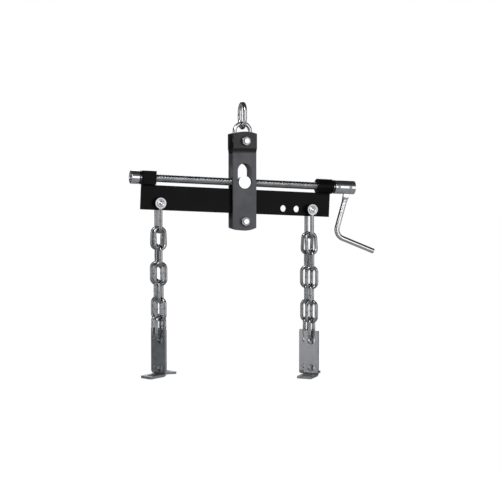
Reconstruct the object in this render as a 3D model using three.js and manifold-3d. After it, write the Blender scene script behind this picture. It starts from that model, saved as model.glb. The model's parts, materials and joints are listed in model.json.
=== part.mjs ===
// An engine load leveler as it hangs from a crane hook. Two welded links carry a carriage of two black
// plates, and a trunnion nut rests in the carriage's slot. The beam's screw runs through that nut, so
// turning the folding crank at the right end shifts the beam, and the load on its four chains, under
// the hook. Millimetres, +Z up, +X towards the crank, -Y to the front. The origin is the inside of the
// upper hoist link's top, where the hook bears.

import * as THREE from 'three';
import { mergeVertices } from 'three/addons/utils/BufferGeometryUtils.js';
import Module from 'manifold-3d';

const wasm = await Module();
wasm.setup();

const { degToRad } = THREE.MathUtils;

// Fits, and how far a cut runs past the face that it opens.
const fit = 0.3;
const overrun = 5;

// Facets of round forms.
const roundSides = 32;
const pinSides = 20;
const hoistSides = 12;
const wireSides = 8;
const bendSteps = 8;
const cornerSteps = 4;

// Hoist links: the hook holds the upper one, edge-on from the front, and the lower one lies across it.
const hoistWire = 8.4;
const hoistWidth = 42;
const hoistLength = 58;

// Carriage: the bottom bolt keeps its height over the plates' feet, and the bar its room over that bolt's
// sleeve.
const plateWidth = 50;
const plateThickness = 5;
const upperGap = 30;
const lowerGap = 22;
const plateCrown = 19.5;
const plateHeight = 202.4;
const crownArch = 4.2;
const footArch = 5.7;
const joggleDrop = 13.2;
const joggleHeight = 10.6;
const slotHeight = 51.9;
const slotWidth = 30;
const plateFoot = 19;
const barRoom = 8;

// Carriage bolts, nuts and spacer sleeves.
const boltDiameter = 10;
const boltHeadHeight = 6.4;
const boltAcrossFlats = 17;
const nutHeight = 8;
const threadShown = 3;
const sleeveDiameter = 16;

// Beam: places along it are measured from the trunnion, and the bar's top edge lies under the screw.
const trunnionDiameter = 25.4;
const beamTilt = 2.5;
const barLength = 407;
const barHeight = 50;
const barThickness = 8;
const barDrop = 14;
const barLeft = -213.2;
const holeRise = 14;
const leftHoleInset = 36.8;
const rightHoleInset = 43.8;
const holePitch = 29.3;

// Bearings at the ends of the bar.
const blockWidth = 28;
const blockLength = 28.6;
const blockOverhang = 0.8;
const blockEdge = 1.5;
const bossDiameter = 31;
const bossLength = 34;
const bossOverhang = 4.2;

// Screw and what turns with it.
const screwDiameter = 15.9;
const screwInset = 3;
const ringDiameter = 26;
const ringLength = 4.6;
const setScrewDiameter = 2.6;
const setScrewDepth = 3.6;
const collarDiameter = 27;
const collarLength = 17;
const socketDiameter = 29;
const socketLength = 45;
const socketBoreDepth = 16.4;
const forkGap = 7;
const crossPinDiameter = 5;
const crossPinInset = 7.3;
const pivotDiameter = 6;
const pivotInset = 12;
const pinRecess = 0.5;

// Crank: a round rod with a flattened top, which hangs with its weight under the pivot.
const crankRod = 11;
const crankArm = 105;
const crankGrip = 95;
const crankBendRadius = 20;
const crankBend = 85;
const crankLean = 16.5;
const tongueWidth = 15;
const tongueThickness = 6;
const tongueLength = 38;
const tongueShown = 24;

// Shackles hang from the bar's end holes.
const shackleRod = 8;
const shackleSpread = 33;
const shackleReach = 57;
const shackleCorner = 8;
const eyeDiameter = 22;
const shacklePin = 13;
const pinHeadDiameter = 16;
const pinHeadHeight = 2.5;
const pinNutAcrossFlats = 19;
const pinNutHeight = 7;

// Chain: two strands of six links hang from each shackle. The turns are those of the links' planes.
const chainWire = 7;
const chainWidth = 28;
const chainLength = 50;
const strandOffset = 14.5;
const strandTopOffset = 8.4;
const linkNames = ['a', 'b', 'c', 'd', 'e', 'f'];
const linkTurns = {
  left: [0, 79.8, -20.4, 59.4, -50, 25],
  right: [0, 79.8, -20.4, 59.4, -40.8, 44.4],
};

// Mounting brackets: steel angle with one hole for the chain and two for bolts.
const bracketWidth = 32;
const bracketHeight = 95;
const bracketThickness = 5;
const bracketBend = 6;
const flangeLength = 42;
const flangeDroop = 3;
const chainHole = 16;
const chainHoleInset = 21;
const bearingGap = 0.7;
const boltHole = 15;
const plateHoleRise = 17;
const flangeHoleInset = 15;

// Finishes as the photo shows them.
const finishes = {
  blackPaint: { color: 0x141517, roughness: 0.42, metalness: 0 },
  darkSteel: { color: 0x3b3d40, roughness: 0.4, metalness: 0.9 },
  brightZinc: { color: 0xc7cacd, roughness: 0.25, metalness: 1 },
  chainZinc: { color: 0xa9acb0, roughness: 0.32, metalness: 1 },
  plainSteel: { color: 0x8b8e91, roughness: 0.5, metalness: 0.9 },
};

/** Turns a closed surface into a solid that can be cut and joined. */
function solid(geometry) {
  const bare = geometry.clone();
  bare.deleteAttribute('normal');
  bare.deleteAttribute('uv');
  const surface = mergeVertices(bare);
  return new wasm.Manifold(new wasm.Mesh({
    numProp: 3,
    vertProperties: new Float32Array(surface.attributes.position.array),
    triVerts: new Uint32Array(surface.index.array),
  }));
}

/** Turns a solid back into a surface for a mesh. */
function surfaceOf(body) {
  const { vertProperties, triVerts } = body.getMesh();
  const geometry = new THREE.BufferGeometry();
  geometry.setAttribute('position', new THREE.BufferAttribute(vertProperties, 3));
  geometry.setIndex(new THREE.BufferAttribute(triVerts, 1));
  return geometry;
}

/** Cuts every tool out of a geometry. */
function cut(geometry, ...tools) {
  return surfaceOf(tools.reduce((body, tool) => body.subtract(solid(tool)), solid(geometry)));
}

/** Joins geometries that overlap into one body. */
function join(first, ...others) {
  return surfaceOf(others.reduce((body, other) => body.add(solid(other)), solid(first)));
}

/** What two geometries have in common. */
function common(first, second) {
  return surfaceOf(solid(first).intersect(solid(second)));
}

/** A cylinder along X from one place to another. */
function barAlongX(diameter, from, to, sides = roundSides) {
  const geometry = new THREE.CylinderGeometry(diameter / 2, diameter / 2, to - from, sides);
  return geometry.rotateZ(Math.PI / 2).translate((from + to) / 2, 0, 0);
}

/** A cylinder along Y from one place to another. */
function barAlongY(diameter, from, to, sides = roundSides) {
  const geometry = new THREE.CylinderGeometry(diameter / 2, diameter / 2, to - from, sides);
  return geometry.translate(0, (from + to) / 2, 0);
}

/** A hexagon prism along Y, standing on a corner as nuts often do. */
function hexAlongY(acrossFlats, from, to) {
  return barAlongY(2 * acrossFlats / Math.sqrt(3), from, to, 6);
}

/** A box between two opposite corners. */
function boxBetween(x0, x1, y0, y1, z0, z1) {
  const geometry = new THREE.BoxGeometry(x1 - x0, y1 - y0, z1 - z0);
  return geometry.translate((x0 + x1) / 2, (y0 + y1) / 2, (z0 + z1) / 2);
}

/** An outline of the XZ plane made into a plate along Y. */
function plateAlongY(outline, from, to) {
  const geometry = new THREE.ExtrudeGeometry(outline, { depth: to - from, bevelEnabled: false });
  return geometry.rotateX(Math.PI / 2).translate(0, to, 0);
}

/** An outline of the YZ plane made into a bar along X, centred on the YZ plane. */
function profileAlongX(outline, length) {
  const geometry = new THREE.ExtrudeGeometry(outline, { depth: length, bevelEnabled: false });
  return geometry.translate(0, 0, -length / 2).rotateX(Math.PI / 2).rotateZ(Math.PI / 2);
}

/** Points on an arc of an outline, both ends included. */
function arc(x, y, radius, fromAngle, toAngle, steps) {
  return Array.from({ length: steps + 1 }, (_, step) => {
    const angle = degToRad(THREE.MathUtils.lerp(fromAngle, toAngle, step / steps));
    return new THREE.Vector2(x + radius * Math.cos(angle), y + radius * Math.sin(angle));
  });
}

/** The outline of a sheet of constant thickness whose middle follows a path. */
function sheetOutline(path, thickness) {
  const sides = [[], []];
  path.forEach((point, index) => {
    const into = point.clone().sub(path[Math.max(index - 1, 0)]).normalize();
    const out = path[Math.min(index + 1, path.length - 1)].clone().sub(point).normalize();
    const along = into.clone().add(out).normalize();
    const reach = thickness / 2 / along.dot(index > 0 ? into : out);
    const across = new THREE.Vector2(-along.y, along.x).multiplyScalar(reach);
    sides[0].push(point.clone().sub(across));
    sides[1].unshift(point.clone().add(across));
  });
  return new THREE.Shape([...sides[0], ...sides[1]]);
}

/** A round rod along a flat path in the XZ plane, closed on itself or ended flat. */
function roundRod(path, diameter, sides, isLoop) {
  const count = path.length;
  const positions = [];
  const faces = [];
  path.forEach((point, index) => {
    const before = path[isLoop ? (index - 1 + count) % count : Math.max(index - 1, 0)];
    const after = path[isLoop ? (index + 1) % count : Math.min(index + 1, count - 1)];
    const into = point.clone().sub(before).normalize();
    const along = after.clone().sub(point).normalize().add(into).normalize();
    for (let side = 0; side < sides; side += 1) {
      const angle = 2 * Math.PI * side / sides;
      const across = diameter / 2 * Math.cos(angle);
      const y = diameter / 2 * Math.sin(angle);
      positions.push(point.x + along.y * across, y, point.y - along.x * across);
    }
  });
  const rings = isLoop ? count : count - 1;
  for (let ring = 0; ring < rings; ring += 1) {
    const next = (ring + 1) % count;
    for (let side = 0; side < sides; side += 1) {
      const turn = (side + 1) % sides;
      const [a, b] = [ring * sides + side, ring * sides + turn];
      const [c, d] = [next * sides + side, next * sides + turn];
      faces.push(a, b, c, b, d, c);
    }
  }
  for (let side = 1; side < sides - 1 && !isLoop; side += 1) {
    const end = (count - 1) * sides;
    faces.push(0, side + 1, side, end, end + side, end + side + 1);
  }
  const geometry = new THREE.BufferGeometry();
  geometry.setAttribute('position', new THREE.Float32BufferAttribute(positions, 3));
  geometry.setIndex(faces);
  return geometry;
}

/** A long link in the XZ plane, its middle at the origin and its length along Z. */
function longLink(wire, width, length, sides) {
  const radius = (width - wire) / 2;
  const middle = length / 2 - wire / 2 - radius;
  const path = [
    ...arc(0, middle, radius, 0, 180, bendSteps),
    ...arc(0, -middle, radius, 180, 360, bendSteps),
  ];
  return roundRod(path, wire, sides, true);
}

const part = new THREE.Group();
part.name = 'engine_load_leveler';

/** Adds one finished piece to its parent and returns it, so that it can be placed and turned. */
function addPiece(parent, name, geometry, finish) {
  const merged = geometry.index ? geometry : mergeVertices(geometry);
  merged.computeVertexNormals();
  const material = new THREE.MeshStandardMaterial({ ...finishes[finish], flatShading: true });
  const mesh = new THREE.Mesh(merged, material);
  mesh.name = name;
  parent.add(mesh);
  return mesh;
}

// Hoist links. Each hangs on the inside of the bend above it.
const hoistReach = hoistLength - hoistWire;
const upperLinkTop = hoistWire / 2;
const upperLinkFoot = upperLinkTop - hoistReach;
const lowerLinkTop = upperLinkFoot + hoistWire + fit;
const lowerLinkFoot = lowerLinkTop - hoistReach;
const upperLink = addPiece(part, 'hoist_link_upper',
  longLink(hoistWire, hoistWidth, hoistLength, hoistSides), 'brightZinc');
upperLink.position.z = upperLinkTop - hoistReach / 2;
upperLink.rotation.z = Math.PI / 2;
const lowerLink = addPiece(part, 'hoist_link_lower',
  longLink(hoistWire, hoistWidth, hoistLength, hoistSides), 'brightZinc');
lowerLink.position.z = lowerLinkTop - hoistReach / 2;

// Carriage heights all follow the top bolt, whose sleeve the lower hoist link carries.
const topBoltZ = lowerLinkFoot + hoistWire / 2 + fit + sleeveDiameter / 2;
const plateTopZ = topBoltZ + plateCrown;
const plateFootZ = plateTopZ - plateHeight;
const bottomBoltZ = plateFootZ + plateFoot;
const trunnionZ = bottomBoltZ + sleeveDiameter / 2 + barRoom + barHeight + barDrop;
const slotFootZ = trunnionZ - trunnionDiameter / 2 - fit;
const slotTopZ = slotFootZ + slotHeight;

/** An arched edge from one side of a plate to the other, as the arc through its corners and crown. */
function archedEdge(crownZ, rise, turned) {
  const half = plateWidth / 2;
  const radius = (half * half + rise * rise) / (2 * rise);
  const spread = THREE.MathUtils.radToDeg(Math.asin(half / radius));
  const middle = turned ? 270 : 90;
  const centreZ = turned ? crownZ + radius : crownZ - radius;
  return arc(0, centreZ, radius, middle - spread, middle + spread, bendSteps);
}

/** The front plate of the carriage; the rear one is the same plate turned about the vertical. */
function carriagePlate() {
  const upperMiddle = -(upperGap + plateThickness) / 2;
  const lowerMiddle = -(lowerGap + plateThickness) / 2;
  const path = [
    new THREE.Vector2(upperMiddle, plateTopZ + overrun),
    new THREE.Vector2(upperMiddle, topBoltZ - joggleDrop),
    new THREE.Vector2(lowerMiddle, topBoltZ - joggleDrop - joggleHeight),
    new THREE.Vector2(lowerMiddle, plateFootZ - overrun),
  ];
  const outerFace = -upperGap / 2 - plateThickness;
  const outline = new THREE.Shape([
    ...archedEdge(plateTopZ, crownArch, false),
    ...archedEdge(plateFootZ, footArch, true),
  ]);
  const slotRadius = slotWidth / 2;
  const slot = new THREE.Shape([
    ...arc(0, slotTopZ - slotRadius, slotRadius, 0, 180, bendSteps * 2),
    ...arc(0, slotFootZ + slotRadius, slotRadius, 180, 360, bendSteps * 2),
  ]);
  const boltCut = barAlongY(boltDiameter + 2 * fit, outerFace - overrun, 0, pinSides);
  return cut(
    common(profileAlongX(sheetOutline(path, plateThickness), plateWidth),
      plateAlongY(outline, outerFace - overrun, 0)),
    plateAlongY(slot, outerFace - overrun, 0),
    boltCut.clone().translate(0, 0, topBoltZ),
    boltCut.clone().translate(0, 0, bottomBoltZ),
  );
}

addPiece(part, 'carriage_plate_front', carriagePlate(), 'blackPaint');
addPiece(part, 'carriage_plate_rear', carriagePlate(), 'blackPaint').rotation.z = Math.PI;

/** A bolt with its head at the rear, its nut at the front, and a sleeve that keeps the plates apart. */
function addBoltSet(name, gap, z) {
  const face = gap / 2 + plateThickness + fit;
  const tip = -face - nutHeight - threadShown;
  const bolt = join(
    hexAlongY(boltAcrossFlats, face, face + boltHeadHeight),
    barAlongY(boltDiameter, tip, face + boltHeadHeight / 2, pinSides),
  );
  const bore = barAlongY(boltDiameter + 2 * fit, tip - overrun, face, pinSides);
  const nut = cut(hexAlongY(boltAcrossFlats, -face - nutHeight, -face), bore);
  const sleeve = cut(barAlongY(sleeveDiameter, fit - gap / 2, gap / 2 - fit), bore);
  addPiece(part, `${name}_bolt`, bolt, 'brightZinc').position.z = z;
  addPiece(part, `${name}_nut`, nut, 'brightZinc').position.z = z;
  addPiece(part, `${name}_sleeve`, sleeve, 'darkSteel').position.z = z;
}

addBoltSet('top', upperGap, topBoltZ);
addBoltSet('bottom', lowerGap, bottomBoltZ);

// The beam lies in its own frame about the trunnion: X along the screw, Z square to it.
const beam = new THREE.Group();
beam.position.z = trunnionZ;
beam.rotation.y = degToRad(beamTilt);
part.add(beam);

/** Where a place on the beam lies in the part's own frame. */
function fromBeam(along, up) {
  beam.updateMatrixWorld();
  return beam.localToWorld(new THREE.Vector3(along, 0, up));
}

const trunnionLength = lowerGap + 2 * plateThickness;
const screwBore = screwDiameter + 2 * fit;
const trunnion = cut(
  barAlongY(trunnionDiameter, -trunnionLength / 2, trunnionLength / 2),
  barAlongX(screwBore, -trunnionDiameter / 2 - overrun, trunnionDiameter / 2 + overrun),
);
addPiece(beam, 'trunnion_nut', trunnion, 'brightZinc');

// Bar, with its pin holes and a shallow saddle for the round bearing.
const barRight = barLeft + barLength;
const barFoot = -barDrop - barHeight;
const holeZ = barFoot + holeRise;
const leftHoleX = barLeft + leftHoleInset;
const rightHoleX = barRight - rightHoleInset;
const holeXs = [leftHoleX, rightHoleX, rightHoleX - holePitch, rightHoleX - 2 * holePitch];
const bossRight = barRight + bossOverhang;
const bossLeft = bossRight - bossLength;
const barHalf = barThickness / 2;
const pinHole = barAlongY(shacklePin + 2 * fit, -barHalf - overrun, barHalf + overrun, pinSides);
const bar = cut(
  boxBetween(barLeft, barRight, -barHalf, barHalf, barFoot, -barDrop),
  barAlongX(bossDiameter + 2 * fit, bossLeft - fit, bossRight + overrun),
  ...holeXs.map((x) => pinHole.clone().translate(x, 0, holeZ)),
);
addPiece(beam, 'beam_bar', bar, 'blackPaint');

// Square bearing at the left end, round bearing at the right end.
const blockLeft = barLeft - blockOverhang;
const blockRight = blockLeft + blockLength;
const blockHalf = blockWidth / 2;
const blockFoot = fit - barDrop;
const blockOutline = sheetOutline([
  new THREE.Vector2(0, blockFoot),
  new THREE.Vector2(0, blockHalf - blockEdge),
], blockWidth);
const blockCap = sheetOutline([
  new THREE.Vector2(0, blockFoot),
  new THREE.Vector2(0, blockHalf),
], blockWidth - 2 * blockEdge);
const block = cut(
  join(profileAlongX(blockOutline, blockLength), profileAlongX(blockCap, blockLength))
    .translate((blockLeft + blockRight) / 2, 0, 0),
  barAlongX(screwBore, blockLeft - overrun, blockRight + overrun),
);
addPiece(beam, 'left_bearing_block', block, 'blackPaint');
const boss = cut(
  barAlongX(bossDiameter, bossLeft, bossRight),
  barAlongX(screwBore, bossLeft - overrun, bossRight + overrun),
);
addPiece(beam, 'right_bearing_boss', boss, 'blackPaint');

/** A ring on the screw, held by a small screw that faces the front. */
function addThrustRing(side, from) {
  const middle = from + ringLength / 2;
  const tip = -ringDiameter / 2;
  const drill = barAlongY(setScrewDiameter + 2 * fit, tip - overrun, tip + setScrewDepth + fit, pinSides);
  const ring = cut(
    barAlongX(ringDiameter, from, from + ringLength),
    barAlongX(screwBore, from - overrun, from + ringLength + overrun),
    drill.translate(middle, 0, 0),
  );
  addPiece(beam, `${side}_thrust_ring`, ring, 'darkSteel');
  const screw = barAlongY(setScrewDiameter, tip, tip + setScrewDepth, pinSides);
  addPiece(beam, `${side}_set_screw`, screw, 'brightZinc').position.x = middle;
}

const leftRingX = blockLeft - fit - ringLength;
const rightRingX = bossRight + fit;
addThrustRing('left', leftRingX);
addThrustRing('right', rightRingX);

// Collar at the left end of the screw, forked socket for the crank at the right end.
const collarRight = leftRingX - fit;
const collarLeft = collarRight - collarLength;
const collar = cut(
  barAlongX(collarDiameter, collarLeft, collarRight),
  barAlongX(screwBore, collarLeft - overrun, collarRight + overrun),
);
addPiece(beam, 'left_collar', collar, 'brightZinc');

const socketLeft = rightRingX + ringLength + fit;
const socketRight = socketLeft + socketLength;
const forkFloor = socketLeft + socketBoreDepth;
const crossPinX = socketLeft + crossPinInset;
const pivotX = socketRight - pivotInset;
const socketHalf = socketDiameter / 2;
const crossPinHole = barAlongY(crossPinDiameter + 2 * fit, -socketDiameter, socketDiameter, pinSides);
const pivotHole = barAlongY(pivotDiameter + 2 * fit, -socketDiameter, socketDiameter, pinSides);
const socket = cut(
  barAlongX(socketDiameter, socketLeft, socketRight),
  barAlongX(screwBore, socketLeft - overrun, forkFloor),
  boxBetween(forkFloor, socketRight + overrun, -forkGap / 2, forkGap / 2, -socketDiameter, socketDiameter),
  crossPinHole.clone().translate(crossPinX, 0, 0),
  pivotHole.clone().translate(pivotX, 0, 0),
);
addPiece(beam, 'crank_socket', socket, 'brightZinc');

const screw = cut(
  barAlongX(screwDiameter, collarLeft + screwInset, forkFloor - fit),
  crossPinHole.clone().translate(crossPinX, 0, 0),
);
addPiece(beam, 'screw', screw, 'brightZinc');

/** A pin across the socket, its ends just under the socket's surface. */
function addSocketPin(name, diameter, x) {
  const half = socketHalf - pinRecess;
  addPiece(beam, name, barAlongY(diameter, -half, half, pinSides), 'plainSteel').position.x = x;
}

addSocketPin('socket_cross_pin', crossPinDiameter, crossPinX);
addSocketPin('crank_pivot_pin', pivotDiameter, pivotX);

/** The crank in its own frame: the pivot at the origin, the arm down and the grip to the right. */
function crankGeometry() {
  const corner = new THREE.Vector2(0, -crankArm);
  const turn = degToRad(90 - crankBend);
  const gripEnd = new THREE.Vector2(Math.cos(turn), -Math.sin(turn)).multiplyScalar(crankGrip).add(corner);
  const setback = crankBendRadius * Math.tan(degToRad(crankBend / 2));
  const bend = arc(crankBendRadius, setback - crankArm, crankBendRadius, 180, 180 + crankBend, bendSteps);
  const rodTop = new THREE.Vector2(0, -tongueShown);
  const rod = roundRod([rodTop, ...bend, gripEnd], crankRod, hoistSides, false);
  const tongueOutline = new THREE.Shape([
    ...arc(0, 0, tongueWidth / 2, 0, 180, bendSteps),
    new THREE.Vector2(-crankRod / 2, -tongueLength),
    new THREE.Vector2(crankRod / 2, -tongueLength),
  ]);
  const halfTongue = tongueThickness / 2;
  const tongue = plateAlongY(tongueOutline, -halfTongue, halfTongue);
  return cut(join(rod, tongue), pivotHole);
}

const crank = addPiece(part, 'crank', crankGeometry(), 'brightZinc');
crank.position.copy(fromBeam(pivotX, 0));
crank.rotation.y = degToRad(crankLean);

/** The shackle in its own frame: the pin at the origin, the bow below it. */
function shackleGeometry() {
  const half = shackleSpread / 2;
  const cornerZ = shackleCorner - shackleReach;
  const flat = half - shackleCorner;
  const path = [
    new THREE.Vector2(-half, 0),
    ...arc(-flat, cornerZ, shackleCorner, 180, 270, cornerSteps * 2),
    ...arc(flat, cornerZ, shackleCorner, 270, 360, cornerSteps * 2),
    new THREE.Vector2(half, 0),
  ];
  const rod = roundRod(path, shackleRod, hoistSides, false).rotateZ(Math.PI / 2);
  const outer = half + shackleRod / 2;
  const inner = half - shackleRod / 2;
  return cut(
    join(rod, barAlongY(eyeDiameter, inner, outer), barAlongY(eyeDiameter, -outer, -inner)),
    barAlongY(shacklePin + 2 * fit, -outer - overrun, outer + overrun, pinSides),
  );
}

/** A shackle with its headed pin and the pin's nut at the rear. */
function addShackle(side, pin) {
  const face = (shackleSpread + shackleRod) / 2 + fit;
  const tip = face + pinNutHeight + threadShown / 2;
  const headed = join(
    barAlongY(pinHeadDiameter, -face - pinHeadHeight, -face, pinSides),
    barAlongY(shacklePin, -face - pinHeadHeight / 2, tip, pinSides),
  );
  const bore = barAlongY(shacklePin + 2 * fit, 0, tip + overrun, pinSides);
  const nut = cut(hexAlongY(pinNutAcrossFlats, face, face + pinNutHeight), bore);
  addPiece(part, `${side}_shackle`, shackleGeometry(), 'brightZinc').position.copy(pin);
  addPiece(part, `${side}_shackle_pin`, headed, 'brightZinc').position.copy(pin);
  addPiece(part, `${side}_shackle_nut`, nut, 'brightZinc').position.copy(pin);
}

/** The bracket in its own frame: the chain hole at the origin, the flange at the foot towards -Y. */
function bracketGeometry() {
  const top = chainHoleInset;
  const foot = top - bracketHeight;
  const half = bracketThickness / 2;
  const droop = degToRad(flangeDroop);
  const bend = arc(-bracketBend, foot + half + bracketBend, bracketBend, 0, flangeDroop - 90, cornerSteps);
  const outward = new THREE.Vector2(-Math.cos(droop), -Math.sin(droop));
  const straight = flangeLength - half - bracketBend;
  const tip = outward.clone().multiplyScalar(straight).add(bend[bend.length - 1]);
  const path = [new THREE.Vector2(0, top), ...bend, tip];
  const boltCut = barAlongY(boltHole, -half - overrun, half + overrun, pinSides);
  const flangeHole = outward.clone().multiplyScalar(straight - flangeHoleInset).add(bend[bend.length - 1]);
  return cut(
    profileAlongX(sheetOutline(path, bracketThickness), bracketWidth),
    barAlongY(chainHole, -half - overrun, half + overrun, pinSides),
    boltCut.clone().translate(0, 0, foot + plateHoleRise),
    boltCut.clone().rotateX(Math.PI / 2 + droop).translate(0, flangeHole.x, flangeHole.y),
  );
}

/** One strand of chain and its bracket; facing is -1 for the front strand and 1 for the rear one. */
function addStrand(side, place, facing, bow) {
  const reach = chainLength - chainWire;
  const splay = Math.asin((strandOffset - strandTopOffset) / reach);
  const hook = chainWire + fit;
  let topZ = bow.z + shackleRod / 2 + fit + chainWire / 2;
  linkNames.forEach((letter, index) => {
    const isFirst = index === 0;
    const drop = isFirst ? reach * Math.cos(splay) : reach;
    const y = isFirst ? (strandTopOffset + strandOffset) / 2 : strandOffset;
    const link = addPiece(part, `${side}_${place}_link_${letter}`,
      longLink(chainWire, chainWidth, chainLength, wireSides), 'chainZinc');
    link.position.set(bow.x, facing * y, topZ - drop / 2);
    link.rotation.x = isFirst ? facing * splay : 0;
    link.rotation.z = degToRad(linkTurns[side][index]);
    topZ += hook - drop;
  });
  const lowestWire = topZ - hook;
  const bracket = addPiece(part, `${side}_${place}_bracket`, bracketGeometry(), 'plainSteel');
  bracket.position.set(bow.x, facing * strandOffset, lowestWire + chainWire / 2 + bearingGap - chainHole / 2);
  bracket.rotation.z = degToRad(linkTurns[side].at(-1) + 90 * facing);
}

for (const [side, holeX] of [['left', leftHoleX], ['right', rightHoleX]]) {
  const pin = fromBeam(holeX, holeZ);
  const bow = pin.clone().setZ(pin.z - shackleReach);
  addShackle(side, pin);
  addStrand(side, 'front', -1, bow);
  addStrand(side, 'back', 1, bow);
}

export default part;
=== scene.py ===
# %% [markdown]
# # Engine load leveler
# The leveler hangs from a hook: two welded links, a black carriage with a trunnion nut in its slot, a
# beam with a long screw, a folding crank, and four chains with steel brackets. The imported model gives
# every place and size, and this script gives each piece its smooth shape and its finish.

import json
from math import asin, atan2, cos, pi, radians, sin, sqrt, tan

import bmesh
import bpy
from mathutils import Matrix, Vector

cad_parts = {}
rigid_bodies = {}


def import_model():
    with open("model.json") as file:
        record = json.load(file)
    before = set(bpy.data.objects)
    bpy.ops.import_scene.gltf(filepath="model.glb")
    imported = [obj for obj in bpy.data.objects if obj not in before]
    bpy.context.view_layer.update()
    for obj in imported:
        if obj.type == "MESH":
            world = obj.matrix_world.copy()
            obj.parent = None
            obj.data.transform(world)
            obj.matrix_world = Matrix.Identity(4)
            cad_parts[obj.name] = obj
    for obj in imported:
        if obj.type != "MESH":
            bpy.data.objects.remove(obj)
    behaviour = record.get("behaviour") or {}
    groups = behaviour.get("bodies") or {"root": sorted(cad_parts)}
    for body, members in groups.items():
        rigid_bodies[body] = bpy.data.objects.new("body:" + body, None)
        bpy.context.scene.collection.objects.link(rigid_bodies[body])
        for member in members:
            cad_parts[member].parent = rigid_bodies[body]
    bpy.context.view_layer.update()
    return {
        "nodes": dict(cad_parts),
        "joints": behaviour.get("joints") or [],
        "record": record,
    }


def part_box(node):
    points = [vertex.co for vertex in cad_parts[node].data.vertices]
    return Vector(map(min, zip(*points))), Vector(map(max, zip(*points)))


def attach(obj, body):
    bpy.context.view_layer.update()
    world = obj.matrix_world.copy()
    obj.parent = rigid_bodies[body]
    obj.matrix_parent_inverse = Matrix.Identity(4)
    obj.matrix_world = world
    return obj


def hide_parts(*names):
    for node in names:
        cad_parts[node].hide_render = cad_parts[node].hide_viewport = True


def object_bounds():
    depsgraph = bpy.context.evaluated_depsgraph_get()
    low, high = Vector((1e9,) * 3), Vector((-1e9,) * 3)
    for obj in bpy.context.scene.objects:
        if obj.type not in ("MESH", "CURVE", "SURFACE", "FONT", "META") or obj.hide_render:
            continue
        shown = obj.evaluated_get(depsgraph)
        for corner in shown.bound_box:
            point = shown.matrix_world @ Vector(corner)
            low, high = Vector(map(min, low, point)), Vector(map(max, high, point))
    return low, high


for leftover in list(bpy.data.objects):
    bpy.data.objects.remove(leftover)
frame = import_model()
scene = bpy.context.scene
record = frame["record"]
mm = 0.001
fit = 0.3 * mm
merge_gap = 0.001 * mm
print("CAD nodes:", len(frame["nodes"]))

# %% [markdown]
# ## Places from the frame
# Every new piece stands where its CAD node stands. A node on the tilted beam is measured in the beam's
# own frame, whose X runs along the screw, so that its sizes come out square.

# %% Read joints, bodies and slots
joint_into = {joint["child"]: joint for joint in frame["joints"]}
joints_from = {}
for joint in frame["joints"]:
    joints_from.setdefault(joint["parent"], []).append(joint)
body_of = {node: body for body, nodes in record["behaviour"]["bodies"].items() for node in nodes}
slot_of = {part["node"]: part["material_slot"] for part in record["subparts"]}

# %% Frames of the beam and the crank
travel = joint_into["beam"]
beam_tilt = atan2(-travel["axis"][2], travel["axis"][0])
beam_frame = Matrix.Translation(travel["pos_m"]) @ Matrix.Rotation(beam_tilt, 4, "Y")
crank_lean = radians(16.5)
crank_frame = Matrix.Translation(joint_into["crank_arm"]["pos_m"]) @ Matrix.Rotation(crank_lean, 4, "Y")
print("beam tilt in degrees:", round(beam_tilt * 180 / pi, 2))


# %% Measure a node in a frame of its own
def extent(node, place=Matrix()):
    """Lowest and highest corner of a CAD node, as the given frame sees it."""
    back = place.inverted()
    spots = [back @ vertex.co for vertex in frame["nodes"][node].data.vertices]
    low = Vector([min(spot[axis] for spot in spots) for axis in range(3)])
    high = Vector([max(spot[axis] for spot in spots) for axis in range(3)])
    return low, high


# %% [markdown]
# ## Finishes
# The real leveler is painted on its beam and carriage, zinc-plated on its screw, crank, links and pins,
# and plain grey steel on its brackets. Each finish is a Principled shader. Broad noise moves the colour
# and the gloss a little, and fine noise gives the surface its grain, in Object coordinates so that it
# keeps its real scale. The broad noise is soft, because a fine change of gloss sparkles from a distance.


# %% A finish with broad patches and fine grain
paint, metal = 0.0, 1.0
noise_low, noise_high = 0.3, 0.7


def add_noise(nodes, links, place, size, detail):
    """Noise of a real size, laid out in Object coordinates."""
    noise = nodes.new("ShaderNodeTexNoise")
    noise.inputs["Scale"].default_value = 1 / size
    noise.inputs["Detail"].default_value = detail
    links.new(place.outputs["Object"], noise.inputs["Vector"])
    return noise


def add_tones(nodes, links, noise, dark, light):
    """Colours from dark to light, as the noise goes from low to high."""
    tones = nodes.new("ShaderNodeValToRGB")
    for element, level, colour in zip(tones.color_ramp.elements, (noise_low, noise_high), (dark, light)):
        element.position = level
        element.color = (*colour, 1)
    links.new(noise.outputs["Fac"], tones.inputs["Fac"])
    return tones


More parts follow.
